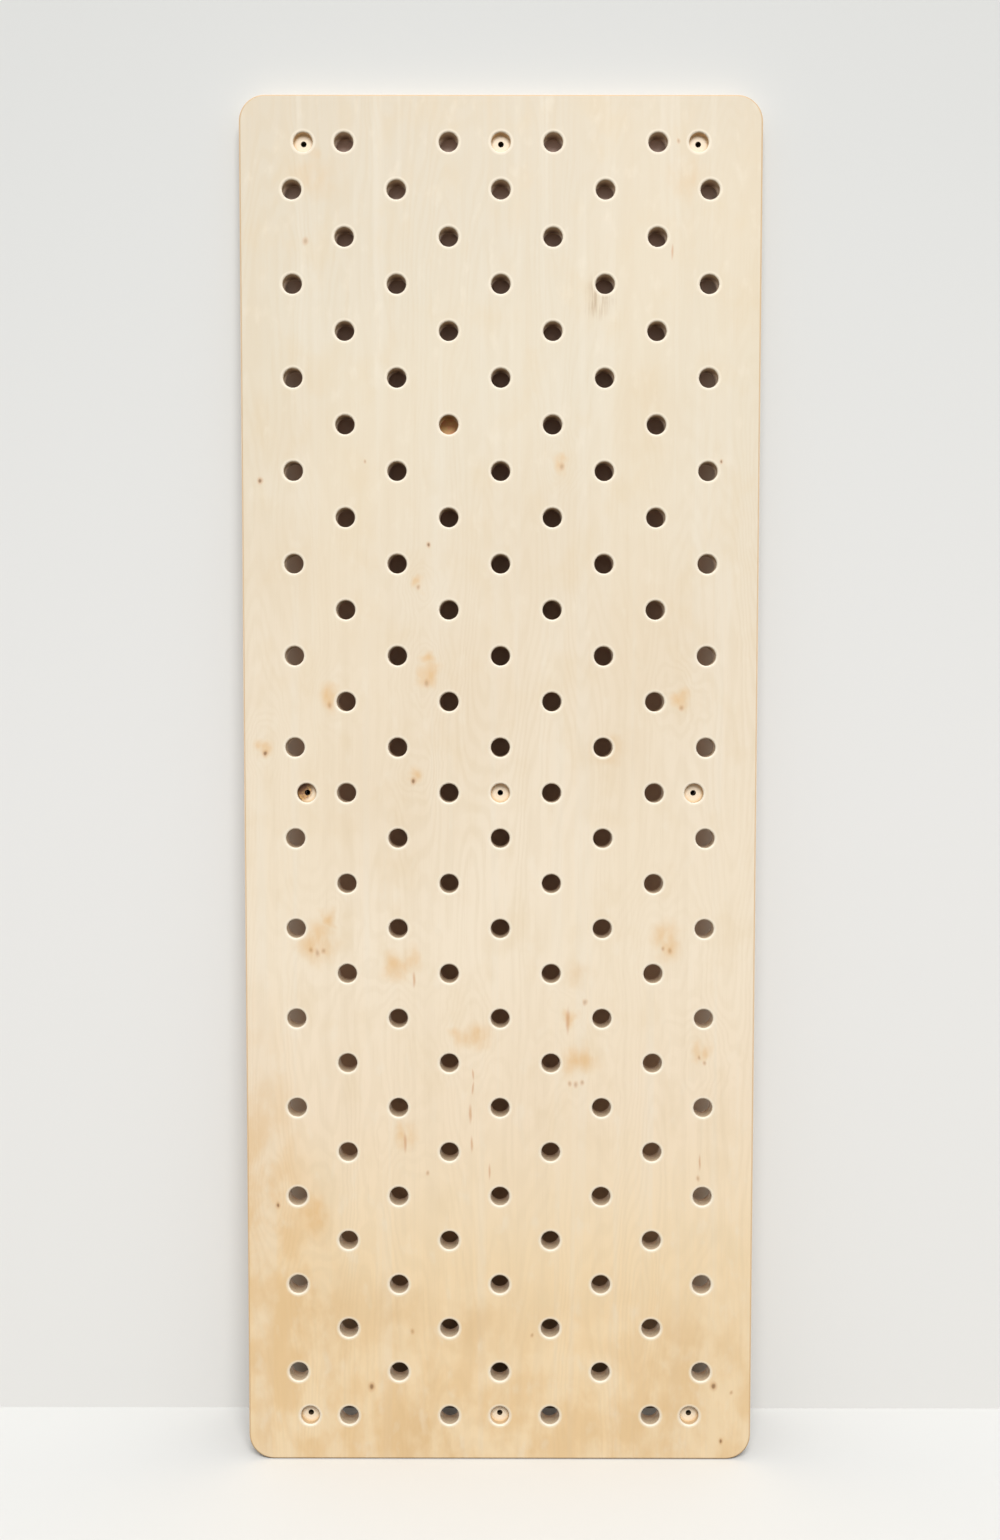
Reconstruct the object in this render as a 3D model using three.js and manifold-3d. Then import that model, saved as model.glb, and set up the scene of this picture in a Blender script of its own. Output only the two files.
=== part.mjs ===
// Climbing pegboard: two birch plywood sheets, glued face to face and bored together.
// Millimetres. +Z is up, +X is to the climber's right, and the climber stands on the -Y side.
// The origin is the middle of the bottom edge, on the glue line between the sheets.

import * as THREE from 'three';
import { mergeVertices } from 'three/addons/utils/BufferGeometryUtils.js';
import Module from 'manifold-3d';

const wasm = await Module();
wasm.setup();

// Peg holes: rows are counted up from the bottom, columns out from the middle one
const rowCount = 29;
const columnsEachSide = 4;
const rowPitch = 80;
const columnPitch = 90;
const pegDiameter = 32;
const pegClearance = 1;
const mouthEasing = 2.5;

// Sheets: what is left outside the outer holes sets their width and height
const sideMargin = 90;
const endMargin = 80;
const frontSheetThickness = 18;
const backSheetThickness = 18;
const cornerRadius = 45;
const edgeRoundover = 4;

// Wall fixings: a screw hole at the bottom of a counterbore for the head and its washer
const screwHoleDiameter = 10;
const counterboreDiameter = 33;
const counterboreDepth = 13;
const fixingOffset = 70;

// Facets of the round forms, and how far a cutter runs past what it cuts
const pegHoleFacets = 9;
const counterboreFacets = 12;
const screwHoleFacets = 8;
const cornerFacets = 8;
const facetsPerCurveSegment = 2;
const roundoverFacets = 2;
const overrun = 5;

const boardWidth = 2 * (columnsEachSide * columnPitch + sideMargin);
const boardHeight = (rowCount - 1) * rowPitch + 2 * endMargin;
const boardThickness = frontSheetThickness + backSheetThickness;

const rowHeight = (row) => endMargin + row * rowPitch;

// Every other place of the grid is bored, so rows of four holes and of five take turns.
function pegHolePlaces() {
  const places = [];
  for (let row = 0; row < rowCount; row++) {
    for (let column = -columnsEachSide; column <= columnsEachSide; column++) {
      const bored = (row + column) % 2 !== 0;
      if (bored) places.push({ x: column * columnPitch, z: rowHeight(row) });
    }
  }
  return places;
}

// The fixings lie in the lowest, the middle and the highest even row. Even rows have no peg
// hole in the middle column, and the outer fixings stand outside their last peg holes.
function fixingPlaces() {
  const evenRow = (row) => 2 * Math.floor(row / 2);
  const rows = [0, evenRow((rowCount - 1) / 2), evenRow(rowCount - 1)];
  const lastOddColumn = evenRow(columnsEachSide + 1) - 1;
  const reach = lastOddColumn * columnPitch + fixingOffset;
  return rows.flatMap((row) => [-reach, 0, reach].map((x) => ({ x, z: rowHeight(row) })));
}

// A closed three.js geometry as a solid, with each corner held once
function solidOf(geometry) {
  const bare = geometry.clone();
  bare.deleteAttribute('normal');
  bare.deleteAttribute('uv');
  const merged = mergeVertices(bare);
  return new wasm.Manifold(new wasm.Mesh({
    numProp: 3,
    vertProperties: new Float32Array(merged.attributes.position.array),
    triVerts: new Uint32Array(merged.index.array),
  }));
}

function geometryOf(solid) {
  const { vertProperties, triVerts } = solid.getMesh();
  const geometry = new THREE.BufferGeometry();
  geometry.setAttribute('position', new THREE.BufferAttribute(vertProperties, 3));
  geometry.setIndex(new THREE.BufferAttribute(triVerts, 1));
  geometry.computeVertexNormals();
  return geometry;
}

// Outline of the faces, which the roundover leaves smaller than the board all round
function faceOutline() {
  const right = boardWidth / 2 - edgeRoundover;
  const top = boardHeight - edgeRoundover;
  const bottom = edgeRoundover;
  const radius = Math.max(cornerRadius - edgeRoundover, 0);
  const outline = new THREE.Shape();
  outline.absarc(right - radius, bottom + radius, radius, -Math.PI / 2, 0);
  outline.absarc(right - radius, top - radius, radius, 0, Math.PI / 2);
  outline.absarc(-right + radius, top - radius, radius, Math.PI / 2, Math.PI);
  outline.absarc(-right + radius, bottom + radius, radius, Math.PI, 1.5 * Math.PI);
  return outline;
}

// Both sheets as one blank, its edges rounded over to either face. It is extruded lying down,
// with its front face up, and then stood on its bottom edge.
function boardBlank() {
  const blank = new THREE.ExtrudeGeometry(faceOutline(), {
    depth: boardThickness - 2 * edgeRoundover,
    curveSegments: cornerFacets / facetsPerCurveSegment,
    bevelThickness: edgeRoundover,
    bevelSize: edgeRoundover,
    bevelSegments: roundoverFacets,
  });
  blank.rotateX(Math.PI / 2);
  blank.translate(0, backSheetThickness - edgeRoundover, 0);
  return solidOf(blank);
}

// Radius at which the flats of a faceted hole touch the true circle from outside, so that a
// round peg or screw of the full size still goes in
const outerRadius = (diameter, facets) => diameter / 2 / Math.cos(Math.PI / facets);

// What a drill takes out from the front face down to a depth
function drilled(diameter, depth, facets) {
  const radius = outerRadius(diameter, facets);
  const length = overrun + depth;
  const core = new THREE.CylinderGeometry(radius, radius, length, facets);
  return core.translate(0, -frontSheetThickness + depth - length / 2, 0);
}

// A drill with a shoulder that eases the mouth at 45 degrees, so that pegs and washers find
// the hole and the veneer round it doesn't splinter
function drilledAndEased(diameter, depth, facets) {
  const bore = outerRadius(diameter, facets);
  const mouth = outerRadius(diameter + 2 * mouthEasing, facets);
  const face = -frontSheetThickness;
  const profile = new THREE.Path()
    .moveTo(0, face - overrun)
    .lineTo(mouth, face - overrun)
    .lineTo(mouth, face)
    .lineTo(bore, face + mouthEasing)
    .lineTo(bore, face + depth)
    .lineTo(0, face + depth);
  return new THREE.LatheGeometry(profile.getPoints(), facets);
}

const repeated = (core, places) => places.map(({ x, z }) => solidOf(core.clone().translate(x, 0, z)));

function allHoles() {
  const through = boardThickness + overrun;
  const pegHole = drilledAndEased(pegDiameter + pegClearance, through, pegHoleFacets);
  const counterbore = drilledAndEased(counterboreDiameter, counterboreDepth, counterboreFacets);
  const screwHole = drilled(screwHoleDiameter, through, screwHoleFacets);
  return [
    ...repeated(pegHole, pegHolePlaces()),
    ...repeated(counterbore, fixingPlaces()),
    ...repeated(screwHole, fixingPlaces()),
  ].reduce((joined, core) => joined.add(core));
}

// All that lies in front of the glue line, to part the bored blank into its two sheets
function spaceInFront() {
  const depth = frontSheetThickness + overrun;
  const space = new THREE.BoxGeometry(boardWidth + 2 * overrun, depth, boardHeight + 2 * overrun);
  return solidOf(space.translate(0, -depth / 2, boardHeight / 2));
}

function plywoodSheet(name, solid, colour) {
  const veneer = new THREE.MeshStandardMaterial({ color: colour, roughness: 0.5, metalness: 0 });
  veneer.flatShading = true;
  const sheet = new THREE.Mesh(geometryOf(solid), veneer);
  sheet.name = name;
  return sheet;
}

const boredBoard = boardBlank().subtract(allHoles());
const inFront = spaceInFront();

const pegboard = new THREE.Group();
pegboard.add(plywoodSheet('front_sheet', boredBoard.intersect(inFront), 0xe2cda6));
pegboard.add(plywoodSheet('back_sheet', boredBoard.subtract(inFront), 0xd9c299));

export default pegboard;
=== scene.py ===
# %% [markdown]
# # A climbing pegboard in birch plywood
#
# A climber stands in front of this board with a wooden peg in each hand and climbs it by moving the
# pegs from hole to hole. It is two sheets of birch plywood, glued face to face, sawn to one outline
# and bored together. Nearly everything that the eye reads is in small things: the round of a hole's
# mouth, the stripes of the plies, and a pale veneer whose figure hardly shows. The lesson starts
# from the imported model, which fixes every size, and puts a finer surface in its place.

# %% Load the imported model
import math

import bpy
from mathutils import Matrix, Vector


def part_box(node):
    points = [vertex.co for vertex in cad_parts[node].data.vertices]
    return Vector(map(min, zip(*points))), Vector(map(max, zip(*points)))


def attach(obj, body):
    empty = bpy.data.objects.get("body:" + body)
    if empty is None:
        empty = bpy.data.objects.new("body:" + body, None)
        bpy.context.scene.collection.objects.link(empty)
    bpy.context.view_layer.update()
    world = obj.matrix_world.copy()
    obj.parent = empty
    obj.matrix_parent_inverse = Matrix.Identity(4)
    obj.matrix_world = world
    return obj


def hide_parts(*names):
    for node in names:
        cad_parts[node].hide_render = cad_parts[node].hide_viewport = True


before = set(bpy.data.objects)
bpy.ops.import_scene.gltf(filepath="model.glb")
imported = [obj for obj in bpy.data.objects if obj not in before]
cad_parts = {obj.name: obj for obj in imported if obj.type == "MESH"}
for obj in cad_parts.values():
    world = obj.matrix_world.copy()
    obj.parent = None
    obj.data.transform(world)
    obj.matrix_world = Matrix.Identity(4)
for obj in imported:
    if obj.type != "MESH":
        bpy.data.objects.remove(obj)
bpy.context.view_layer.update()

# %% [markdown]
# ## Sizes from the model
#
# The board's width, height and faces come from the boxes of its two sheets, and the grid follows
# from them: the outer holes lie one step from the edges, so the width is ten column steps and the
# height thirty row steps. The counts of rows and columns, and the radii and depths of holes and
# corners, are written down again, because a box can't tell them.

# %% Sizes in metres
FRONT_LOW, FRONT_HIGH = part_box("front_sheet")
BACK_LOW, BACK_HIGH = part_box("back_sheet")
FACE, GLUE_LINE, BACK = FRONT_LOW.y, FRONT_HIGH.y, BACK_HIGH.y
WIDTH, HEIGHT = FRONT_HIGH.x - FRONT_LOW.x, FRONT_HIGH.z - FRONT_LOW.z
SHEET = GLUE_LINE - FACE

COLUMNS_EACH_SIDE, ROWS = 4, 29
COLUMN_STEP = WIDTH / (2 * COLUMNS_EACH_SIDE + 2)
ROW_STEP = HEIGHT / (ROWS + 1)

BORE_RADIUS = 0.0165
MOUTH_ROUND, BACK_MOUTH_ROUND = 0.0034, 0.0008
COUNTERBORE_RADIUS, COUNTERBORE_DEPTH = 0.0165, 0.013
SCREW_HOLE_RADIUS = 0.005
FIXING_OFFSET = 0.070
FIXING_COLUMN = (COLUMNS_EACH_SIDE - 1) * COLUMN_STEP + FIXING_OFFSET
FIXING_ROWS_APART = (ROWS // 2) * ROW_STEP
CORNER_RADIUS, EDGE_ROUND = 0.045, 0.004
print(f"board {WIDTH:.3f} x {HEIGHT:.3f} m, steps {COLUMN_STEP:.3f} and {ROW_STEP:.3f} m")
print(f"fixings {FIXING_COLUMN:.3f} m apart across the board and {FIXING_ROWS_APART:.3f} m up it")
print(f"between the sheets {abs(BACK_LOW.y - GLUE_LINE):.4f} m")

# %% [markdown]
# ## The camera
#
# The photographer held an upright camera at chest height, square to the board and aimed a little
# down along it, because the board leans back. Here the board stands upright, so the camera takes
# over that tilt. A 35 mm lens on a frame 36 mm tall gives both the spacing of the rows and how far
# one sees into the holes at the top and at the bottom.

# %% Set up the camera
AIM_DOWN, ROLL, AIM_LEFT = 3.04, -0.05, 0.07
camera = bpy.data.objects.new("camera", bpy.data.cameras.new("camera"))
bpy.context.scene.collection.objects.link(camera)
camera.data.sensor_width = 36
camera.data.lens = 35
camera.location = (0.0025, -2.640, 1.380)
camera.rotation_euler = [math.radians(angle) for angle in (90 - AIM_DOWN, ROLL, AIM_LEFT)]
bpy.context.scene.camera = camera
print("camera", round(camera.location.length, 2), "m from the foot of the board")

# %% [markdown]
# ## Hand tools
#
# An operator works on everything that is selected, so each step first lets go of what it held.
# These few helpers do that, apply a modifier, and pick edges by where their two ends lie. The last
# one leaves edit mode on, ready for the operator that works on those edges.

# %% Helpers for modelling
def hold(*pieces):
    """Selects these objects alone, the first of them active."""
    bpy.ops.object.select_all(action="DESELECT")
    for piece in pieces:
        piece.select_set(True)
    bpy.context.view_layer.objects.active = pieces[0]


def apply_modifier(piece, kind, **settings):
    """Adds a modifier with these settings and applies it at once."""
    hold(piece)
    modifier = piece.modifiers.new(kind.lower(), kind)
    for name, value in settings.items():
        setattr(modifier, name, value)
    bpy.ops.object.modifier_apply(modifier=modifier.name)


def pick_edges(piece, wanted):
    """Selects the edges whose two ends satisfy wanted(point, point), and stays in edit mode."""
    bpy.ops.object.mode_set(mode="EDIT")
    bpy.ops.mesh.select_mode(type="EDGE")
    bpy.ops.mesh.select_all(action="DESELECT")
    bpy.ops.object.mode_set(mode="OBJECT")
    points = [vertex.co for vertex in piece.data.vertices]
    for edge in piece.data.edges:
        edge.select = wanted(*(points[i] for i in edge.vertices))
    bpy.ops.object.mode_set(mode="EDIT")


# %% [markdown]
# ## Drills
#
# On the bench a drill makes each hole, and a router with a rounding bit then eases its mouth. A
# drill here is the space that both take away. Half its outline is drawn in one plane, vertex by
# vertex, and spun round the hole's axis. Steps of 7.5 degrees keep a hole round close up.

# %% Draw an outline and spin it
SPIN_STEPS = 48
ARC_STEPS = 5
OVERRUN = 0.004
MERGE_WITHIN = 1e-6


def round_over(radius, face, rise, bore):
    """The quarter round from the face of a sheet down into a bore, as places across and along."""
    places = []
    for step in range(ARC_STEPS + 1):
        angle = math.pi / 2 * step / ARC_STEPS
        across = bore + radius * (1 - math.sin(angle))
        places.append((across, face + rise * radius * (1 - math.cos(angle))))
    return places


def spun(name, outline):
    """A solid of revolution about the Y axis, from an outline of (across, along) places."""
    points = [Vector((across, along, 0)) for across, along in outline]
    bpy.ops.object.select_all(action="DESELECT")
    bpy.ops.mesh.primitive_plane_add(size=OVERRUN)
    piece = bpy.context.object
    piece.name = name
    bpy.ops.object.mode_set(mode="EDIT")
    # The plane is merged into the one vertex that the outline starts from
    bpy.ops.mesh.merge(type="CENTER")
    bpy.ops.transform.translate(value=points[0])
    for here, there in zip(points, points[1:]):
        bpy.ops.mesh.extrude_vertices_move(TRANSFORM_OT_translate={"value": there - here})
    bpy.ops.mesh.select_all(action="SELECT")
    bpy.ops.mesh.spin(steps=SPIN_STEPS, angle=math.tau, center=(0, 0, 0), axis=(0, 1, 0))
    bpy.ops.mesh.select_all(action="SELECT")
    bpy.ops.mesh.remove_doubles(threshold=MERGE_WITHIN)
    bpy.ops.mesh.normals_make_consistent(inside=False)
    bpy.ops.object.mode_set(mode="OBJECT")
    return piece


mouth = round_over(MOUTH_ROUND, FACE, 1, BORE_RADIUS)
back_mouth = round_over(BACK_MOUTH_ROUND, BACK, -1, BORE_RADIUS)
peg_drill = spun("peg_drill", [
    (0, FACE - OVERRUN), (mouth[0][0], FACE - OVERRUN), *mouth,
    *reversed(back_mouth), (back_mouth[0][0], BACK + OVERRUN), (0, BACK + OVERRUN),
])
SEAT = FACE + COUNTERBORE_DEPTH
step_mouth = round_over(MOUTH_ROUND, FACE, 1, COUNTERBORE_RADIUS)
fixing_drill = spun("fixing_drill", [
    (0, FACE - OVERRUN), (step_mouth[0][0], FACE - OVERRUN), *step_mouth, (COUNTERBORE_RADIUS, SEAT),
    (SCREW_HOLE_RADIUS, SEAT), (SCREW_HOLE_RADIUS, BACK + OVERRUN), (0, BACK + OVERRUN),
])
print("drills:", len(peg_drill.data.polygons), "and", len(fixing_drill.data.polygons), "faces")

# %% [markdown]
# ## The boring pattern
#
# Rows of four holes and of five take turns, so the pattern is two plain grids, one half a step
# aside of the other. An array modifier repeats a drill along a row, and a second one repeats the
# row up the board. The nine fixings are a third grid, three by three.

# %% Repeat the drills
def grid_of(drill, columns, rows, column_step, row_step, first_row):
    """A grid of copies of a drill, centred across the board, upwards from its first row."""
    hold(drill)
    bpy.ops.object.duplicate()
    grid = bpy.context.object
    grid.location = (-(columns - 1) / 2 * column_step, 0, first_row)
    bpy.ops.object.transform_apply(location=True, rotation=False, scale=False)
    for count, offset in ((columns, (column_step, 0, 0)), (rows, (0, 0, row_step))):
        apply_modifier(grid, "ARRAY", count=count, use_relative_offset=False,
                       use_constant_offset=True, constant_offset_displace=offset)
    return grid


FOURS, FIVES = (ROWS + 1) // 2, ROWS // 2
cutters = [
    grid_of(peg_drill, COLUMNS_EACH_SIDE, FOURS, 2 * COLUMN_STEP, 2 * ROW_STEP, ROW_STEP),
    grid_of(peg_drill, COLUMNS_EACH_SIDE + 1, FIVES, 2 * COLUMN_STEP, 2 * ROW_STEP, 2 * ROW_STEP),
    grid_of(fixing_drill, 3, 3, FIXING_COLUMN, FIXING_ROWS_APART, ROW_STEP),
]
hold(*cutters)
bpy.ops.object.join()
cutter = bpy.context.object
for drill in (peg_drill, fixing_drill):
    bpy.data.objects.remove(drill)
print("holes to bore:", COLUMNS_EACH_SIDE * FOURS + (COLUMNS_EACH_SIDE + 1) * FIVES, "and 9 fixings")

# %% [markdown]
# ## The two sheets
#
# Each sheet starts as a block of its real size. Its four upright corners are rounded first, then
# the one edge that shows, the front sheet's towards the climber and the back sheet's towards the
# wall, and last all the holes come out in one cut. Edges below 30 degrees are shaded smooth, and
# weighted normals keep the broad faces flat right up to the rounded mouths.

# %% Saw, round and bore a sheet
CORNER_SEGMENTS = 14
ROUND_SEGMENTS = 5
SMOOTH_BELOW = math.radians(30)
NEAR = 1e-5


def near(a, b):
    return abs(a - b) < NEAR


def bored_sheet(name, node, low_y, high_y, outer_y):
    """A sheet from low_y to high_y, rounded at its outer face, in place of a node of the model."""
    bpy.ops.object.select_all(action="DESELECT")
    middle = (0, (low_y + high_y) / 2, HEIGHT / 2)
    bpy.ops.mesh.primitive_cube_add(size=1, location=middle, scale=(WIDTH, high_y - low_y, HEIGHT))
    sheet = bpy.context.object
    sheet.name = sheet.data.name = name
    bpy.ops.object.transform_apply(location=True, rotation=True, scale=True)
    pick_edges(sheet, lambda a, b: near(a.x, b.x) and near(a.z, b.z))
    bpy.ops.mesh.bevel(offset=CORNER_RADIUS, segments=CORNER_SEGMENTS, affect="EDGES")
    bpy.ops.object.mode_set(mode="OBJECT")
    pick_edges(sheet, lambda a, b: near(a.y, outer_y) and near(b.y, outer_y))
    bpy.ops.mesh.bevel(offset=EDGE_ROUND, segments=ROUND_SEGMENTS, affect="EDGES")
    bpy.ops.object.mode_set(mode="OBJECT")
    apply_modifier(sheet, "BOOLEAN", operation="DIFFERENCE", object=cutter, solver="MANIFOLD")
    hold(sheet)
    bpy.ops.object.shade_smooth_by_angle(angle=SMOOTH_BELOW)
    apply_modifier(sheet, "WEIGHTED_NORMAL", mode="FACE_AREA", weight=50, keep_sharp=True)
    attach(sheet, "root")
    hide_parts(node)
    triangles = sum(len(face.vertices) - 2 for face in sheet.data.polygons)
    print(name, "has", len(sheet.data.polygons), "faces,", triangles, "triangles")
    return sheet


front = bored_sheet("front_plywood", "front_sheet", FACE, GLUE_LINE, FACE)
back = bored_sheet("back_plywood", "back_sheet", GLUE_LINE, BACK, BACK)
bpy.data.objects.remove(cutter)

# %% [markdown]
# ## A shader is written like a sum
#
# Veneer is a matter of numbers: how far a point lies from the glue line, how steeply it faces, how
# close it is to a knot. So a socket gets the operators of arithmetic, and each of them adds the
# Math node that does it. That way a formula stays as short as it is on paper.

# %% Arithmetic on sockets
class Wire:
    """An output socket that can be calculated with."""

    def __init__(self, finish, socket):
        self.finish, self.socket = finish, socket

    def out(self, name):
        """Another output of the same node."""
        return Wire(self.finish, self.socket.node.outputs[name])

    def math(self, operation, *others):
        return self.finish.node("Math", {"operation": operation}, dict(enumerate((self, *others))))

    def swapped(self, operation, other):
        return self.finish.node("Math", {"operation": operation}, {0: other, 1: self})

    def __add__(self, other):
        return self.math("ADD", other)

    def __radd__(self, other):
        return self.swapped("ADD", other)

    def __sub__(self, other):
        return self.math("SUBTRACT", other)

    def __rsub__(self, other):
        return self.swapped("SUBTRACT", other)

    def __mul__(self, other):
        return self.math("MULTIPLY", other)

    def __rmul__(self, other):
        return self.swapped("MULTIPLY", other)

    def __truediv__(self, other):
        return self.math("DIVIDE", other)

    def __rtruediv__(self, other):
        return self.swapped("DIVIDE", other)

    def __mod__(self, other):
        return self.math("MODULO", other)

    def __lt__(self, other):
        return self.math("LESS_THAN", other)

    def __gt__(self, other):
        return self.math("GREATER_THAN", other)

    def __abs__(self):
        return self.math("ABSOLUTE")


print("a socket now takes + - * / % < > and abs()")

# %% [markdown]
# ## One method for every other node
#
# Noise, colour ramps and shaders come from one method, which takes a node's type, its settings and
# the values or links of its sockets. The settings go first, because some of them change which
# sockets a node has. Colours are written as one reads them off a screen, and made linear here.

# %% Nodes and colours
class Finish:
    """A node tree that starts empty, with one method for every kind of node."""

    def __init__(self, owner):
        owner.use_nodes = True
        self.tree = owner.node_tree
        self.tree.nodes.clear()

    def node(self, kind, settings=None, inputs=None, out=0):
        node = self.tree.nodes.new("ShaderNode" + kind)
        for name, value in (settings or {}).items():
            if name == "stops":
                self.set_stops(node.color_ramp, value)
            else:
                setattr(node, name, value)
        for name, value in (inputs or {}).items():
            if isinstance(value, Wire):
                self.tree.links.new(value.socket, node.inputs[name])
            else:
                node.inputs[name].default_value = value
        return Wire(self, node.outputs[out]) if node.outputs else None

    @staticmethod
    def set_stops(ramp, stops):
        while len(ramp.elements) < len(stops):
            ramp.elements.new(1.0)
        for element, (position, colour) in zip(ramp.elements, stops):
            element.position, element.color = position, colour

    def smooth(self, value, low, high):
        """0 at low and 1 at high, with soft ends."""
        ends = {"Value": value, "From Min": low, "From Max": high}
        return self.node("MapRange", {"interpolation_type": "SMOOTHSTEP"}, ends)

    # One Mix node serves numbers, vectors and colours, with sockets of its own for each of them
    def mix(self, factor, colour, other):
        return self.node("Mix", {"data_type": "RGBA"}, {0: factor, 6: colour, 7: other}, out=2)

    def mix_vector(self, factor, vector, other):
        return self.node("Mix", {"data_type": "VECTOR"}, {0: factor, 4: vector, 5: other}, out=1)

    def vector(self, operation, vector, other, out=0):
        return self.node("VectorMath", {"operation": operation}, {0: vector, 1: other}, out)

    def noise(self, place, waves, detail=2.0, roughness=0.5, out=0):
        """Noise with so many waves a metre along X, Y and Z."""
        waving = self.vector("MULTIPLY", place, waves)
        inputs = {"Vector": waving, "Scale": 1.0, "Detail": detail, "Roughness": roughness}
        return self.node("TexNoise", None, inputs, out)


def shade(red, green, blue):
    """A colour as seen on a screen, 0 to 255, in the linear light that shaders count in."""
    def linear(level):
        level /= 255
        return level / 12.92 if level <= 0.04045 else ((level + 0.055) / 1.055) ** 2.4
    return (linear(red), linear(green), linear(blue), 1.0)


print("the middle grey of a screen is", round(shade(128, 128, 128)[0], 3), "in linear light")

# %% [markdown]
# ## Marks in the veneer
#
# A birch veneer is peeled from a turning log, so the small knots of its twigs come round again and again,
# and two leaves laid edge to edge mirror each other. A pin knot is a brown dot, and most have an orange fan
# above them, where the fibres bend round the twig. Nine are darker than the rest, a few are only a thin
# streak along the grain, and one is a grey smear. Patches and areas are where the veneer is a little darker
# without any knot. All were placed one by one, in metres across from the middle and up from the bottom
# edge, with their half width in millimetres.

# %% Places of the marks
PIN_KNOTS = [
    (-0.336, 2.153, 3.0), (0.305, 2.322, 2.0), (0.106, 1.768, 2.8), (-0.235, 1.777, 1.6),
    (-0.143, 1.560, 2.0), (-0.128, 1.394, 3.2), (-0.299, 1.354, 2.8), (0.317, 1.350, 2.6),
    (-0.334, 0.922, 2.4), (-0.322, 0.918, 3.2), (-0.311, 0.922, 2.4), (0.287, 0.925, 2.0),
    (0.300, 0.922, 2.6), (0.150, 0.830, 2.6), (0.123, 0.683, 2.4), (0.134, 0.682, 2.6),
    (0.145, 0.685, 2.2), (0.353, 0.731, 2.0), (0.363, 0.722, 2.0), (-0.128, 0.523, 2.0),
    (0.352, 0.513, 2.4), (-0.156, 0.235, 2.6), (0.057, 0.227, 1.8), (0.414, 0.122, 1.8),
]
DARK_KNOTS = [
    (-0.418, 1.743, 2.8), (0.383, 1.777, 1.8), (-0.127, 1.631, 2.4), (-0.412, 1.270, 2.8),
    (-0.152, 1.222, 3.0), (-0.395, 0.464, 2.8), (-0.230, 0.133, 3.8), (0.383, 0.135, 3.8),
    (0.396, 0.033, 2.6),
]
STREAKS = [
    (0.295, 2.134, 1.8), (0.120, 0.796, 3.2),
    (-0.048, 0.700, 1.6), (-0.048, 0.676, 1.6), (-0.053, 0.629, 2.4), (-0.050, 0.575, 2.0),
    (-0.168, 0.578, 2.6), (-0.018, 0.526, 2.0), (0.355, 0.542, 2.0), (-0.152, 0.870, 2.0),
]
FANS = [
    (-0.296, 1.366, 13.0), (0.313, 1.364, 12.0), (-0.127, 1.405, 13.0), (-0.150, 1.236, 11.0),
    (-0.412, 1.284, 10.0), (-0.322, 0.936, 22.0), (-0.303, 0.972, 12.0), (0.294, 0.938, 20.0),
    (-0.186, 0.897, 16.0), (-0.162, 0.899, 16.0), (-0.070, 0.768, 14.0), (-0.040, 0.772, 16.0),
    (0.132, 0.722, 17.0), (0.152, 0.728, 17.0), (0.355, 0.742, 15.0),
    (-0.168, 0.592, 13.0), (-0.329, 0.448, 24.0), (-0.395, 0.476, 16.0), (0.106, 1.776, 9.0),
    (-0.127, 1.432, 8.0), (0.121, 0.806, 9.0), (-0.140, 1.566, 8.0),
]
FAINT_PATCHES = [
    (-0.318, 2.260, 42.0), (0.317, 2.262, 36.0), (0.191, 1.276, 26.0), (0.141, 0.878, 24.0),
    (-0.300, 0.262, 95.0), (-0.190, 0.272, 60.0), (0.330, 0.190, 85.0), (-0.050, 0.262, 62.0),
    (0.290, 0.060, 70.0), (-0.130, 0.040, 90.0), (-0.314, 2.296, 15.0),
]
TAN_AREAS = [
    (0.060, 1.640, 120.0), (0.260, 1.860, 60.0), (-0.360, 1.850, 80.0), (-0.180, 1.180, 130.0),
    (-0.370, 1.600, 70.0), (0.240, 1.440, 120.0), (-0.060, 1.360, 110.0), (0.200, 1.270, 80.0),
]
GREY_SMEARS = [(0.168, 2.058, 17.0)]
print("knots:", len(PIN_KNOTS), "and", len(DARK_KNOTS), "dark ones, fans:", len(FANS))
print("streaks:", len(STREAKS), "patches and areas:", len(FAINT_PATCHES) + len(TAN_AREAS))


def nearest(finish, place, marks, length):
    """Distance to the nearest mark, 1 at its half width, with marks so many times longer than wide."""
    squeezed = finish.vector("MULTIPLY", place, (1, 0, 1 / length))
    least = None
    for across, up, half_width in marks:
        away = finish.vector("DISTANCE", squeezed, (across, 0, up / length), out="Value")
        away = away / (half_width / 1000)
        least = away if least is None else least.math("MINIMUM", away)
    return least


# %% [markdown]
# ## How far a point is from the holes
#
# The finish changes near a hole: a pale ring round the rim is a painted highlight, and the bore is painted
# browner with depth, which is painted shade.
# So the material has to know how far a point lies from the nearest axis. It needn't test 130 holes.
# Counted in steps along the two diagonals of the grid, every hole lies at a whole number, so what
# is left after rounding is the way to the nearest one.

# %% Distances seen from the front
FAR = 1.0


def length_of(dx, dz):
    return (dx * dx + dz * dz).math("SQRT")


def from_peg_hole(x, z):
    """Distance to the axis of the nearest peg hole, and far past the ends of the grid."""
    column, row = x / COLUMN_STEP, z / ROW_STEP - 1
    rising = (column + row - 1) * 0.5
    falling = (column - row - 1) * 0.5
    rising = rising - rising.math("ROUND")
    falling = falling - falling.math("ROUND")
    away = length_of((rising + falling) * COLUMN_STEP, (rising - falling) * ROW_STEP)
    beside = abs(x) > WIDTH / 2 - COLUMN_STEP / 2
    beyond = abs(z - HEIGHT / 2) > HEIGHT / 2 - ROW_STEP / 2
    return away + FAR * beside.math("MAXIMUM", beyond)


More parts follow.
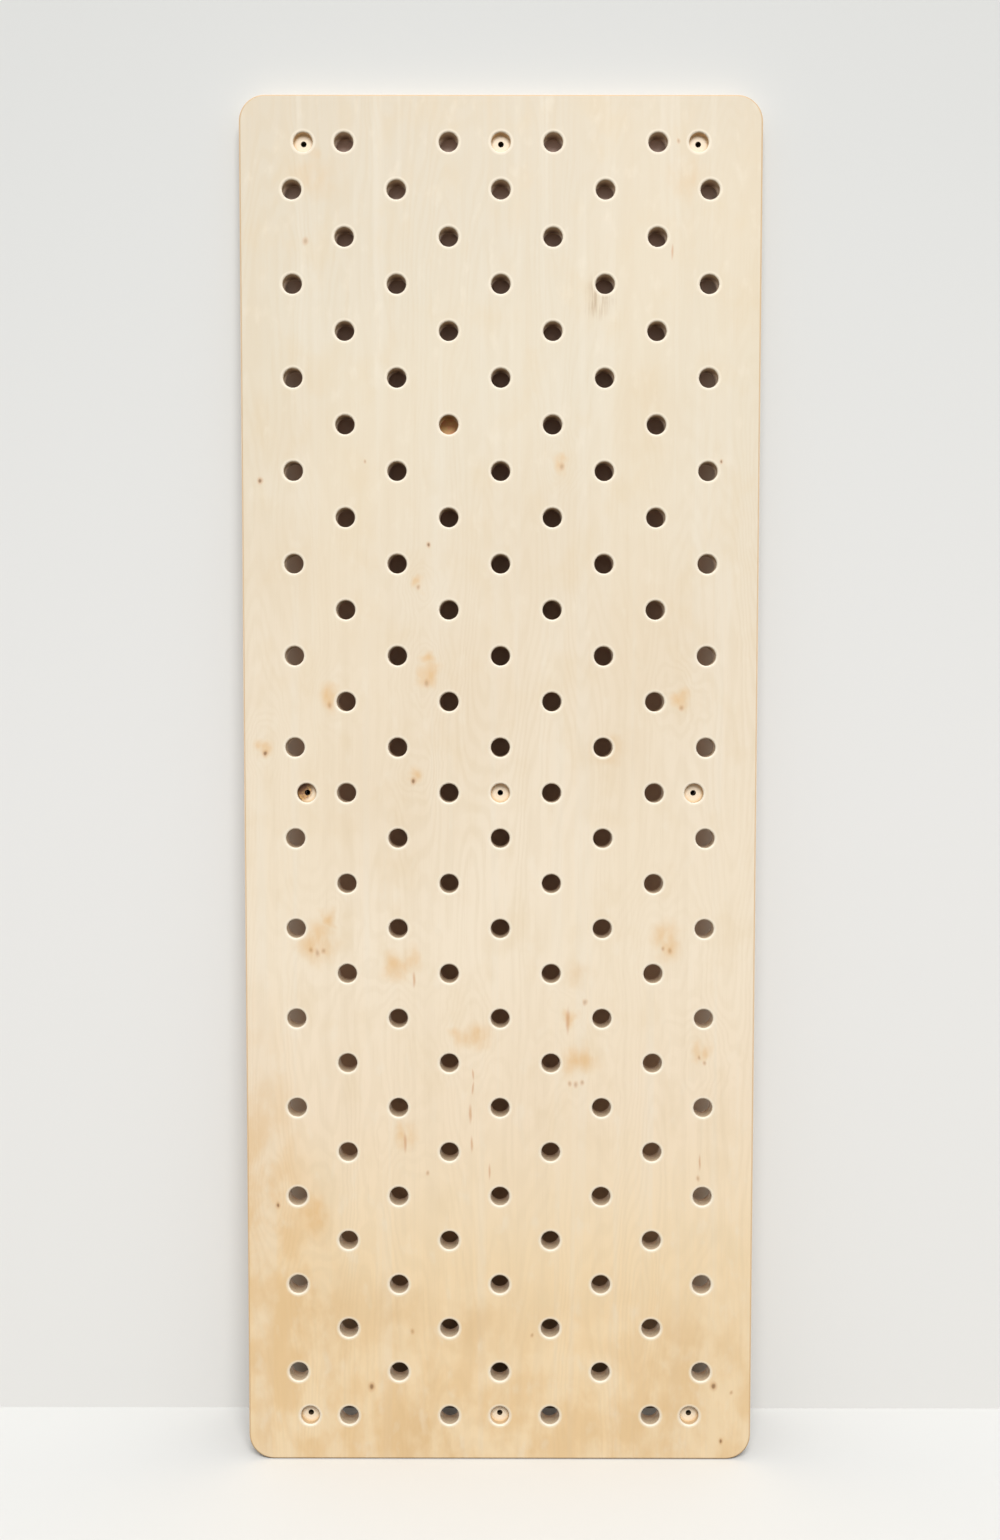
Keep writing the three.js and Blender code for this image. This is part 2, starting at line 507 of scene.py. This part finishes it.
def from_fixing(x, z):
    """Distance to the axis of the nearest fixing, of three in a row in three rows."""
    beside, above = abs(x), abs(z - ROW_STEP - FIXING_ROWS_APART)
    dx = beside.math("MINIMUM", abs(beside - FIXING_COLUMN))
    dz = above.math("MINIMUM", abs(above - FIXING_ROWS_APART))
    return length_of(dx, dz)


class Spot:
    """Where a shaded point lies on the board and how it faces, as sockets to calculate with."""

    def __init__(self, finish):
        self.place = finish.node("TexCoord", out="Object")
        facing = finish.node("SeparateXYZ", None, {0: self.place.out("Normal")})
        self.sideways, self.forwards, self.upwards = abs(facing), abs(facing.out("Y")), abs(facing.out("Z"))
        self.x = finish.node("SeparateXYZ", None, {0: self.place})
        self.depth, self.z = self.x.out("Y"), self.x.out("Z")
        self.peg_hole, self.fixing = from_peg_hole(self.x, self.z), from_fixing(self.x, self.z)
        self.on_back_sheet = self.depth > GLUE_LINE


print("past the ends of the grid the nearest hole counts as", FAR, "m further away")

# %% [markdown]
# ## Plies
#
# A sheet is thirteen thin plies, and their fibres run upright and crosswise in turn. Where the saw
# or a drill cuts along the fibres a ply looks pale, and where it cuts across them it looks browner.
# The ply is found by counting from the glue line, so the stripes meet at every corner and go on
# into each hole. The board could also have been modelled as 26 layers, but 139 holes through each
# of them would cost millions of triangles for something that is flush to the touch.

# %% Colour of the cut plies
PLIES = 13
PLY = SHEET / PLIES
FIBRES_UPRIGHT, FIBRES_CROSSWISE = (420.0, 420.0, 14.0), (14.0, 420.0, 420.0)


def cut_plies(finish, spot):
    """The colour of a cut edge or bore, and how far the point is from the glue line, in plies."""
    from_glue = abs(spot.depth) / PLY
    ply = from_glue.math("FLOOR").math("MINIMUM", PLIES - 1)
    crosswise = ply % 2
    seed = {"W": ply + 2 * PLIES * spot.on_back_sheet}
    tone = finish.node("TexWhiteNoise", {"noise_dimensions": "1D"}, seed)
    waves = finish.mix_vector(crosswise, FIBRES_UPRIGHT, FIBRES_CROSSWISE)
    fibres = finish.noise(spot.place, waves, detail=3.0, roughness=0.6)
    end_grain = finish.mix_vector(crosswise, spot.upwards * spot.upwards, spot.sideways * spot.sideways)
    end_grain = end_grain * (tone * 0.3 + 0.7)
    colour = finish.mix(tone * 0.5, shade(240, 222, 194), shade(226, 202, 168))
    colour = finish.mix(end_grain * 0.60, colour, shade(186, 154, 118))
    colour = finish.mix(finish.smooth(fibres, 0.45, 0.80) * 0.30, colour, shade(186, 152, 114))
    seam = abs(from_glue - ply - 0.5)
    glue = finish.smooth(seam, 0.43, 0.49) * (from_glue < PLIES - 0.2)
    return finish.mix(glue * 0.65, colour, shade(122, 90, 66)), from_glue


print(f"{PLIES} plies of {PLY * 1000:.2f} mm a sheet")

# %% [markdown]
# ## Bores
#
# A bore is painted browner the deeper it goes: painted shade, for the dark deep inside a hole. The wall of
# a counterbore is browner than a sawn edge, and its flat floor is cleaner than its wall, though towards its
# rim the floor turns tan, partly painted shade in that corner. The walls of the narrow screw holes are
# painted dark, painted shade too. Two holes stand out on this board. One peg hole is stained brown all the
# way in, and the left fixing of the middle row is scorched on one side, as happens when a blunt bit is held
# still.

# %% Colour inside the holes
STAINED_HOLE = (-COLUMN_STEP, 23 * ROW_STEP)
SCORCHED_FIXING = (-FIXING_COLUMN, ROW_STEP + FIXING_ROWS_APART)
SCORCHED_PART, BURNT_PART = (-0.010, 0.005), (-0.012, 0.011)
# The wall of a hole lies at its radius, so a point a little past that still counts as inside
INSIDE = 1.05


def from_axis(spot, axis, aside=0.0, above=0.0):
    """Distance to one hole's axis, or to a line beside and above it."""
    return length_of(spot.x - (axis[0] + aside), spot.z - (axis[1] + above))


def bored_wood(finish, spot, cut):
    """The colour of the cut plies, changed where the point lies in a hole."""
    in_bore = spot.peg_hole < BORE_RADIUS * INSIDE
    # painted shade: deeper in a peg hole the bore is painted browner
    deep_shade = finish.smooth(spot.depth, FACE + MOUTH_ROUND, BACK - MOUTH_ROUND)
    colour = finish.mix(in_bore * deep_shade * 0.88, cut, shade(102, 68, 36))
    in_stained = from_axis(spot, STAINED_HOLE) < BORE_RADIUS * INSIDE
    colour = finish.mix(in_stained * 0.80, colour, shade(164, 130, 82))
    in_step = spot.fixing < COUNTERBORE_RADIUS * INSIDE
    floor = finish.smooth(spot.forwards, 0.7, 0.9)
    past_mouth = finish.smooth(spot.depth, FACE + MOUTH_ROUND / 2, FACE + MOUTH_ROUND)
    wall = in_step * past_mouth * (1 - floor)
    colour = finish.mix(wall * 0.42, colour, shade(198, 156, 90))
    colour = finish.mix(in_step * floor * 0.70, colour, shade(252, 238, 214))
    # partly painted shade: the counterbore floor turns tan towards its rim, in the corner by the wall
    rim_tan_and_shade = finish.smooth(spot.fixing, COUNTERBORE_RADIUS * 0.68, COUNTERBORE_RADIUS)
    colour = finish.mix(in_step * floor * rim_tan_and_shade * 0.45, colour, shade(214, 174, 100))
    scorched = finish.smooth(from_axis(spot, SCORCHED_FIXING, *SCORCHED_PART), 0.022, 0.015)
    char = finish.noise(spot.place, (260.0, 0.0, 260.0))
    brown = finish.mix(finish.smooth(char, 0.40, 0.62), shade(146, 86, 26), shade(212, 166, 84))
    colour = finish.mix(scorched * in_step * floor * 0.85, colour, brown)
    colour = finish.mix(scorched * wall * 0.92, colour, shade(84, 44, 10))
    burnt = finish.smooth(from_axis(spot, SCORCHED_FIXING, *BURNT_PART), 0.017, 0.007)
    colour = finish.mix(burnt * in_step * 0.88, colour, shade(96, 50, 8))
    # painted shade: the walls of the narrow screw holes are painted dark
    in_screw_hole = spot.fixing < SCREW_HOLE_RADIUS * INSIDE
    return finish.mix(in_screw_hole * (1 - floor) * 0.85, colour, shade(50, 34, 24))


print("stained hole", STAINED_HOLE, "scorched fixing", SCORCHED_FIXING)

# %% [markdown]
# ## Face veneer
#
# The face is pale and satin, its figure no more than a breath of colour. The contour lines of a
# slow noise are what peeling leaves, so they make the figure, and fine fibres go over them. Towards
# the foot of the board, and up its left edge, the veneer turns warmer and more mottled, and the
# marks come last. The back sheet's face is another leaf, so there every pattern is shifted. Every
# place also sways a little, because nothing in wood is ruled straight.

# %% Where a point lies on its leaf
LEAF_SHIFT = (0.13, -0.21)


class Leaf:
    """Where a shaded point lies on its leaf, and the patterns that several colours share."""

    def __init__(self, finish, spot):
        across, up = (spot.on_back_sheet * far for far in LEAF_SHIFT)
        shift = finish.node("CombineXYZ", None, {0: across, 2: up})
        self.place = finish.vector("ADD", spot.place, shift)
        waver = finish.noise(self.place, (45.0, 0.0, 20.0)) - 0.5
        sway = finish.node("CombineXYZ", None, {0: waver * 0.008, 2: waver * 0.010})
        self.loose = finish.vector("ADD", self.place, sway)
        tangle = finish.noise(self.place, (22.0, 0.0, 22.0), detail=3.0, out="Color")
        tangle = finish.vector("SUBTRACT", tangle, (0.5, 0.5, 0.5))
        drift = finish.vector("MULTIPLY", tangle, (0.055, 0.0, 0.055))
        self.ragged = finish.vector("ADD", self.loose, drift)
        self.clouds = finish.noise(self.loose, (14.0, 0.0, 9.0), detail=4.0, roughness=0.55)
        self.flecks = finish.noise(self.loose, (40.0, 0.0, 20.0), detail=3.0)
        self.fan = nearest(finish, self.ragged, FANS, 1.2)


print("the leaf at the back is shifted by", LEAF_SHIFT, "m")

# %% [markdown]
# Peeling cuts through the growth rings at a very flat angle, so they show as wide contours. They are
# drawn from one slow noise, long along the grain, by taking the sine of it many times over. Near a
# knot more is added to the noise, which bends the contours round it.

# %% Figure of the veneer
RINGS = 34.0
RINGS_ROUND_A_KNOT = 3.0


def figured_veneer(finish, spot, leaf, fibres):
    """The tone of the wood from the foot to the top, partly painted shade, with its contours, bands and
    fibres.
    """
    slow = finish.noise(leaf.loose, (6.5, 0.0, 1.0), detail=2.5, roughness=0.42)
    rings = slow * RINGS + finish.smooth(leaf.fan, 6.0, 0.0) * RINGS_ROUND_A_KNOT
    contours = (rings * math.tau).math("SINE") * 0.5 + 0.5
    broad = finish.noise(leaf.place, (2.6, 0.0, 1.2))
    bands = finish.noise(leaf.place, (38.0, 38.0, 0.8), detail=3.0)
    # partly painted shade: the tone is darker towards the top, to even out the light there
    tone = finish.node("ValToRGB", {"stops": [
        (0.0, shade(255, 231, 191)), (0.15, shade(250, 226, 187)), (0.26, shade(249, 230, 202)),
        (0.38, shade(249, 234, 210)), (0.60, shade(240, 225, 201)), (0.80, shade(231, 220, 198)),
        (1.0, shade(222, 209, 186)),
    ]}, {0: spot.z / HEIGHT})
    colour = finish.mix(finish.smooth(broad, 0.42, 0.70) * 0.30, tone, shade(240, 221, 188))
    figure = finish.smooth(contours, 0.20, 1.0) * (finish.smooth(broad, 0.62, 0.36) * 0.6 + 0.4)
    colour = finish.mix(figure * 0.13, colour, shade(214, 192, 152))
    colour = finish.mix(finish.smooth(bands, 0.50, 0.68) * 0.16, colour, shade(226, 206, 174))
    colour = finish.mix(finish.smooth(bands, 0.48, 0.32) * 0.22, colour, shade(240, 232, 216))
    colour = finish.mix(finish.smooth(fibres, 0.50, 0.80) * 0.16, colour, shade(220, 198, 162))
    return finish.mix(finish.smooth(leaf.clouds, 0.48, 0.70) * 0.22, colour, shade(228, 204, 162))


print("contours over the range of the slow noise:", RINGS)

# %% [markdown]
# The warm part has no edge that could be pointed at. Its height is therefore a number with clouds
# in it, raised along the left edge, and a soft step over that number says how warm the wood is.

# %% Warmer wood at the foot and up the left edge
WARM_UP_TO, WARMEST_BELOW = 0.50, 0.08
LEFT_EDGE_REACHES = 0.46


def warmed(finish, spot, leaf, colour):
    near_left = finish.smooth(spot.x, -0.26, -0.43)
    to_right = finish.smooth(spot.x, -0.10, 0.25)
    height = spot.z - near_left * LEFT_EDGE_REACHES + (leaf.clouds - 0.5) * 0.40
    warm = finish.smooth(height, WARM_UP_TO, WARMEST_BELOW) * (0.84 - 0.06 * to_right)
    warm = warm * (finish.smooth(leaf.clouds, 0.38, 0.60) * 0.75 + 0.25)
    return finish.mix(warm * 0.62, colour, shade(230, 186, 122))


print("warm up to", WARM_UP_TO, "m, and", LEFT_EDGE_REACHES, "m more at the left edge")

# %% [markdown]
# The marks go over all that, the broad and faint ones first and the knots last. Each is no more than
# its distance, turned into a soft spot. The wide ones are measured from a very ragged place, so they
# come out as torn shapes and not as ovals.

# %% Marks on the veneer
def marked(finish, leaf, fibres, colour):
    patch = nearest(finish, leaf.ragged, FAINT_PATCHES, 1.0)
    patch = finish.smooth(patch, 1.4, 0.1) * finish.smooth(leaf.clouds, 0.30, 0.60)
    colour = finish.mix(patch * 0.42, colour, shade(226, 190, 138))
    area = nearest(finish, leaf.ragged, TAN_AREAS, 1.3)
    colour = finish.mix(finish.smooth(area, 1.6, 0.2) * 0.13, colour, shade(220, 190, 144))
    flecks = finish.smooth(leaf.flecks, 0.55, 0.75)
    colour = finish.mix(flecks * 0.25, colour, shade(247, 236, 216))
    orange = finish.smooth(leaf.fan, 2.0, 0.1) * finish.smooth(leaf.flecks, 0.20, 0.62)
    colour = finish.mix(orange * 0.62, colour, shade(230, 182, 112))
    smear = finish.smooth(nearest(finish, leaf.ragged, GREY_SMEARS, 1.8), 1.7, 0.2)
    smear = smear * finish.smooth(fibres, 0.35, 0.60)
    colour = finish.mix(smear * 0.65, colour, shade(184, 154, 118))
    streak = finish.smooth(nearest(finish, leaf.loose, STREAKS, 6.0), 1.6, 0.3)
    colour = finish.mix(streak * 0.55, colour, shade(206, 146, 92))
    for knots, halo, core in ((PIN_KNOTS, 0.36, 0.20), (DARK_KNOTS, 0.46, 0.70)):
        knot = nearest(finish, leaf.loose, knots, 1.4)
        colour = finish.mix(finish.smooth(knot, 2.4, 0.7) * halo, colour, shade(204, 146, 84))
        colour = finish.mix(finish.smooth(knot, 1.25, 0.35) * core, colour, shade(112, 76, 42))
    return colour


def veneer(finish, spot, fibres):
    leaf = Leaf(finish, spot)
    colour = figured_veneer(finish, spot, leaf, fibres)
    colour = warmed(finish, spot, leaf, colour)
    return marked(finish, leaf, fibres, colour)


print("the widest patch is", 2 * max(width for _, _, width in FAINT_PATCHES + TAN_AREAS), "mm across")

# %% [markdown]
# ## The finish of both sheets
#
# One material does for both sheets, because the record gives them one. Veneer covers the faces, cut plies
# show below it, and between them lies the sanded round, which is bare: tan along the edges of the board,
# and pale at the holes, where the pale is partly bare wood and partly a painted highlight. Round each hole
# a pale ring is painted on the face as well, a painted highlight for the bright halo at a hole's edge, and
# that pale ring is what draws the holes from afar.

# %% Put the finish together
HALO_RING_WIDTH = 0.0035
MOUTH_SANDED, EDGE_SANDED = 0.001, 0.004


def birch_plywood():
    material = bpy.data.materials.new("birch_plywood")
    finish = Finish(material)
    spot = Spot(finish)
    cut, from_glue = cut_plies(finish, spot)
    cut = bored_wood(finish, spot, cut)
    fibres = finish.noise(spot.place, FIBRES_UPRIGHT, detail=3.0, roughness=0.6)
    face = veneer(finish, spot, fibres)

    to_hole = (spot.peg_hole - BORE_RADIUS).math("MINIMUM", spot.fixing - COUNTERBORE_RADIUS)
    # painted highlight: a pale ring on the face round each hole
    halo_ring = finish.smooth(to_hole, MOUTH_ROUND + HALO_RING_WIDTH, MOUTH_ROUND)
    face = finish.mix(halo_ring * 0.55, face, shade(252, 240, 218))

    on_face = finish.smooth(spot.forwards, 0.30, 0.75) * (from_glue > PLIES - 1)
    colour = finish.mix(on_face, cut, face)
    sanded = finish.smooth(spot.forwards, 0.06, 0.30) * finish.smooth(spot.forwards, 0.995, 0.93)
    # partly painted highlight: the sanded round is pale at the holes and tan along the edges
    at_mouth = finish.smooth(to_hole, MOUTH_ROUND + EDGE_SANDED, MOUTH_ROUND + MOUTH_SANDED)
    bare_and_highlight = finish.mix(at_mouth, shade(216, 176, 126), shade(253, 243, 223))
    colour = finish.mix(sanded * 0.70, colour, bare_and_highlight)

    rough = 0.44 + 0.10 * fibres + 0.12 * sanded
    bump = finish.node("Bump", None, {"Strength": 0.25, "Distance": 0.0002, "Height": fibres})
    surface = finish.node("BsdfPrincipled", None, {
        "Base Color": colour, "Roughness": rough, "Normal": bump,
    })
    finish.node("OutputMaterial", None, {"Surface": surface})
    print(material.name, "has", len(material.node_tree.nodes), "nodes")
    return material


PLYWOOD = birch_plywood()
for sheet in (front, back):
    sheet.data.materials.clear()
    sheet.data.materials.append(PLYWOOD)

# %% [markdown]
# ## Wall and floor
#
# In the photograph the board leans on a pale wall. The part stands upright, so here the wall leans instead,
# by the same angle: it meets the top of the board and stays clear of its foot. That gap, with the painted
# shade behind the board, is what makes the holes look as they do, nearly black at the top, lighter near the
# edges lower down. Behind the board wall and floor are painted browner and darker, painted shade of the
# gap, the wall darkest at the foot. The wall has one side only. From behind it isn't there, so the back of
# the board can be seen, and towards its ends it fades into the plain background. The floor fades as well,
# but only to the eye.
# For the light it stays whole, or the sky would shine up from below, and it is darker too, so that
# it doesn't brighten the foot of the board.

# %% Seen from the front only
LEAN = math.radians(3.7)
GAP_AT_TOP = 0.002
GAP_AT_FOOT = GAP_AT_TOP + HEIGHT * math.tan(LEAN)
PALE = shade(230, 231, 229)
WALL_HALF_WIDTH, WALL_HEIGHT, WALL_FADE = 1.9, 3.4, 0.6
FLOOR_SIZE, FLOOR_REACH, FLOOR_FADE = 40, 6.0, 4.2
WALL_GAP_SOFT, TOP_GAP_SOFT, FLOOR_GAP_SOFT = 0.11, 0.06, 0.14


def seen_from_front(finish, surface, absent=0.0):
    """A surface that isn't there from behind, nor where absent is 1."""
    behind = finish.node("NewGeometry", out="Backfacing")
    clear = finish.node("BsdfTransparent")
    shown = finish.node("MixShader", None, {0: behind.math("MAXIMUM", absent), 1: surface, 2: clear})
    finish.node("OutputMaterial", None, {"Surface": shown})


def seen_directly(finish):
    """1 for what the camera sees, also in or through something shiny, and 0 for light that spreads."""
    path = finish.node("LightPath", out="Is Camera Ray")
    shiny = path.out("Is Glossy Ray").math("MAXIMUM", path.out("Is Transmission Ray"))
    return path.math("MAXIMUM", shiny)


print(f"the wall is {GAP_AT_TOP:.3f} m behind the top of the board and {GAP_AT_FOOT:.3f} m at its foot")

# %% [markdown]
# The paint is plain, but for how it changes with height and behind the board. One ramp does for the open
# wall, which is painted lighter low down and darker high up, a painted falloff of the light, and one for
# the strip in the gap, which is painted shade.

# %% Paint of the wall and the floor
def wall_finish():
    material = bpy.data.materials.new("wall_paint")
    finish = Finish(material)
    x = finish.node("SeparateXYZ", None, {0: finish.node("TexCoord", out="Object")})
    z = x.out("Z")
    beyond = finish.smooth(abs(x), WALL_HALF_WIDTH - WALL_FADE, WALL_HALF_WIDTH)
    above = finish.smooth(z, WALL_HEIGHT - WALL_FADE, WALL_HEIGHT)
    in_gap = finish.smooth(abs(x), WIDTH / 2, WIDTH / 2 - WALL_GAP_SOFT)
    in_gap = in_gap * finish.smooth(z, HEIGHT, HEIGHT - TOP_GAP_SOFT)
    # painted shade: the wall behind the board is browner and darker, darkest at the foot
    gap_shade = finish.node("ValToRGB", {"stops": [
        (0.0, shade(144, 124, 106)), (0.10, shade(178, 152, 130)), (0.28, shade(204, 174, 152)),
        (0.50, shade(206, 176, 156)), (0.75, shade(214, 184, 168)), (1.0, shade(252, 226, 216)),
    ]}, {0: z / HEIGHT})
    # painted light: the open wall is lighter low down and darker high up
    paint = finish.node("ValToRGB", {"stops": [
        (0.0, shade(252, 252, 249)), (0.35, shade(243, 243, 241)), (0.65, shade(231, 232, 230)),
        (0.85, shade(222, 223, 221)),
    ]}, {0: z / WALL_HEIGHT})
    paint = finish.node("BsdfDiffuse", None, {"Color": finish.mix(in_gap, paint, gap_shade)})
    seen_from_front(finish, paint, beyond.math("MAXIMUM", above))
    return material


def floor_finish():
    material = bpy.data.materials.new("floor_paint")
    finish = Finish(material)
    x = finish.node("SeparateXYZ", None, {0: finish.node("TexCoord", out="Object")})
    y = x.out("Y")
    in_gap = finish.smooth(abs(x), WIDTH / 2, WIDTH / 2 - FLOOR_GAP_SOFT)
    in_gap = in_gap * finish.smooth(abs(y - GAP_AT_FOOT / 2), GAP_AT_FOOT / 2, GAP_AT_FOOT / 3)
    seen = seen_directly(finish)
    # painted shade: the floor behind the board is browner and darker
    colour = finish.mix(in_gap, shade(226, 226, 224), shade(108, 92, 76))
    colour = finish.mix(seen, shade(92, 84, 74), colour)
    far_off = finish.smooth(length_of(x, y), FLOOR_REACH - FLOOR_FADE, FLOOR_REACH)
    seen_from_front(finish, finish.node("BsdfDiffuse", None, {"Color": colour}), far_off * seen)
    return material


WALL_PAINT, FLOOR_PAINT = wall_finish(), floor_finish()
print("paints:", WALL_PAINT.name, "and", FLOOR_PAINT.name)

# %% [markdown]
# Both are planes, added at size one, scaled, and turned up by their tilt.

# %% Put up the wall and the floor
def backdrop(name, size, place, tilt, material):
    """A flat piece of the backdrop, at its place and turned up by its tilt."""
    bpy.ops.object.select_all(action="DESELECT")
    bpy.ops.mesh.primitive_plane_add(size=1, location=place, rotation=(tilt, 0, 0))
    piece = bpy.context.object
    piece.name = name
    piece.scale = (*size, 1)
    bpy.ops.object.transform_apply(location=True, rotation=True, scale=True)
    piece.data.materials.append(material)
    return piece


foot = BACK + GAP_AT_FOOT
wall_length = WALL_HEIGHT / math.cos(LEAN)
wall_middle = (0, foot - WALL_HEIGHT / 2 * math.tan(LEAN), WALL_HEIGHT / 2)
UPRIGHT = math.radians(90)
wall = backdrop("wall", (2 * WALL_HALF_WIDTH, wall_length), wall_middle, UPRIGHT + LEAN, WALL_PAINT)
backdrop("floor", (FLOOR_SIZE, FLOOR_SIZE), (0, 0, 0), 0, FLOOR_PAINT)
print("wall faces", tuple(round(v, 2) for v in wall.data.polygons[0].normal), "foot at", round(foot, 3))

# %% [markdown]
# Behind the stained hole the photograph shows something brown close to the board's back, and the narrow
# screw holes are black. Neither is part of the board, so both belong to the backdrop: small squares just
# clear of the back, which nobody sees but through those holes. The dark squares behind the screw holes are
# painted shade.

# %% Backings for ten holes
BACKING_GAP = 0.0015
BROWN_SIZE, SHADE_CARD_SIZE = 0.044, 0.014


def backing(name, size, axis, colour, other):
    """A square behind one hole, mottled in two colours."""
    material = bpy.data.materials.new(name)
    finish = Finish(material)
    place = finish.node("TexCoord", out="Object")
    mottle = finish.smooth(finish.noise(place, (90.0, 0.0, 90.0)), 0.35, 0.65)
    paint = finish.node("BsdfDiffuse", None, {"Color": finish.mix(mottle, colour, other)})
    seen_from_front(finish, paint)
    place = (axis[0], BACK + BACKING_GAP, axis[1])
    backdrop(name, (size, size), place, UPRIGHT, material)


backing("brown_behind", BROWN_SIZE, STAINED_HOLE, shade(244, 206, 146), shade(244, 186, 142))
for row in range(3):
    for column in (-1, 0, 1):
        axis = (column * FIXING_COLUMN, ROW_STEP + row * FIXING_ROWS_APART)
        # painted shade: a dark square behind each screw hole
        backing("shade_card_behind", SHADE_CARD_SIZE, axis, shade(22, 18, 16), shade(30, 24, 20))
print("backings stand", BACKING_GAP, "m clear of the back")

# %% [markdown]
# ## Light
#
# One large soft lamp hangs in front, a little to the right and well above the board. Its light comes
# in at some 28 degrees at the top and 45 at the foot, as a high window's would, so it reaches less
# far into the lower holes. Its falloff is set to constant, which keeps the board evenly lit.

# %% The lamp in front
def aimed(lamp, place, aim):
    """Puts a lamp in its place and turns it towards what it lights."""
    lamp.location = place
    lamp.rotation_euler = (Vector(aim) - Vector(place)).to_track_quat("-Z", "Y").to_euler()
    return lamp


MIDDLE = Vector((0, 0, HEIGHT / 2))
bpy.ops.object.select_all(action="DESELECT")
bpy.ops.object.light_add(type="AREA")
main_lamp = aimed(bpy.context.object, (0.25, -5.0, 5.0), MIDDLE)
main_lamp.name = "main_lamp"
main_lamp.data.shape = "DISK"
main_lamp.data.size = 3.0
main_lamp.data.energy = 7.25
lamp_finish = Finish(main_lamp.data)
falloff = lamp_finish.node("LightFalloff", None, {"Strength": 1.0}, out="Constant")
glow = lamp_finish.node("Emission", None, {"Strength": falloff})
lamp_finish.node("OutputLight", None, {"Surface": glow})
print("the lamp in front is", round((main_lamp.location - MIDDLE).length, 2), "m from the board's middle")

# %% [markdown]
# ## Lamps at the back
#
# Three lamps at the back are there for whoever walks round the board. They reach only the board,
# and none of their light is passed on, so that seen from the front the holes stay dark.

# %% The lamps at the back
board_only = bpy.data.collections.new("board_only")
for sheet in (front, back):
    board_only.objects.link(sheet)


def back_lamp(name, direction, energy):
    """A sun that lights the two sheets alone, and only with its first light."""
    bpy.ops.object.select_all(action="DESELECT")
    bpy.ops.object.light_add(type="SUN")
    lamp = aimed(bpy.context.object, MIDDLE + Vector(direction), MIDDLE)
    lamp.name = name
    lamp.data.angle = math.radians(12)
    lamp.data.energy = energy
    lamp.light_linking.receiver_collection = board_only
    lamp.light_linking.blocker_collection = board_only
    finish = Finish(lamp.data)
    first_light = finish.node("LightPath", out="Ray Depth") < 1.5
    glow = finish.node("Emission", None, {"Strength": first_light})
    finish.node("OutputLight", None, {"Surface": glow})


back_lamp("back_lamp_left", (-3.5, 2.0, 0), 1.7)
back_lamp("back_lamp_right", (3.5, 2.0, 0), 1.7)
back_lamp("back_lamp_above", (0, 2.0, 4.0), 1.2)

# %% [markdown]
# ## Sky and background
#
# An even grey sky fills the shade with light. What the eye sees of it is another colour, the plain
# pale one that wall and floor fade into. The Standard view shows every colour as it is written.

# %% Sky and background
SKY = 0.65
world = bpy.data.worlds.new("background")
bpy.context.scene.world = world
sky_finish = Finish(world)
sky_colour = sky_finish.mix(seen_directly(sky_finish), (SKY, SKY, SKY, 1), PALE)
background = sky_finish.node("Background", None, {"Color": sky_colour})
sky_finish.node("OutputWorld", None, {"Surface": background})

bpy.context.scene.view_settings.view_transform = "Standard"
print("sky light:", SKY)
